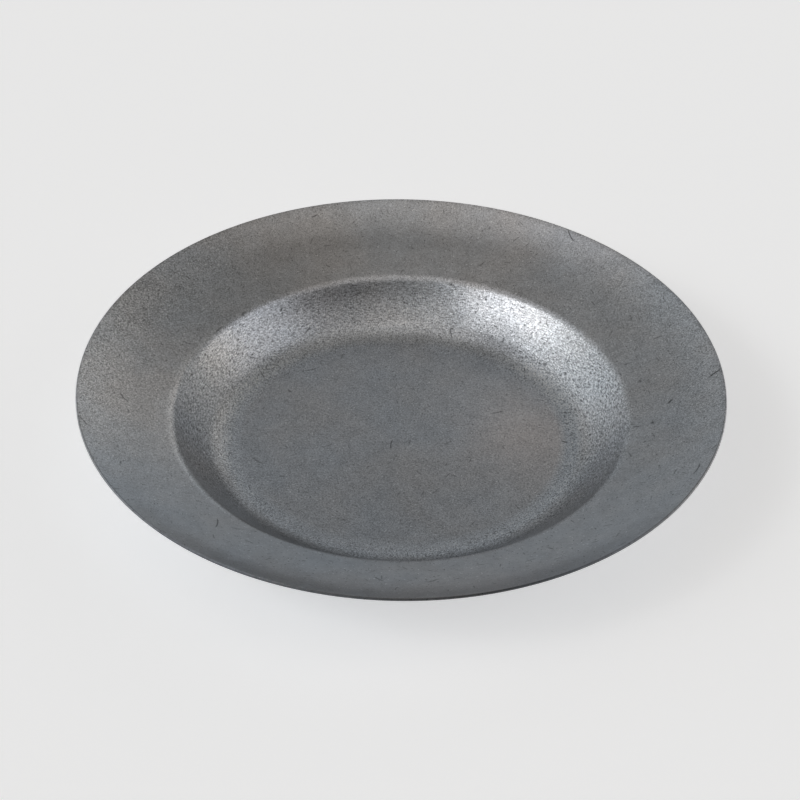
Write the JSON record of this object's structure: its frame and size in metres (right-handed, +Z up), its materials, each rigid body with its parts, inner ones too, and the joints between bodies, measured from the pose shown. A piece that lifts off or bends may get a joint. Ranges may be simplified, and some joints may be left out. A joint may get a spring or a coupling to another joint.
{
  "type": "plate",
  "caption": "Deep round plate pressed from stainless steel sheet, with a flat floor, a steep wall and a wide upturned rim",
  "frame": {"origin": "centre of the underside of the flat floor, on which the plate stands", "axes": "+Z up along the axis of the round plate; +X to the right and +Y away from the viewer of the picture"},
  "size_m": [0.24, 0.24, 0.0313],
  "materials": {
    "steel": "satin tumbled stainless steel, grey and faintly mottled, with fine short nicks"
  },
  "bodies": {
    "root": {"plate": "steel"}
  },
  "joints": []
}
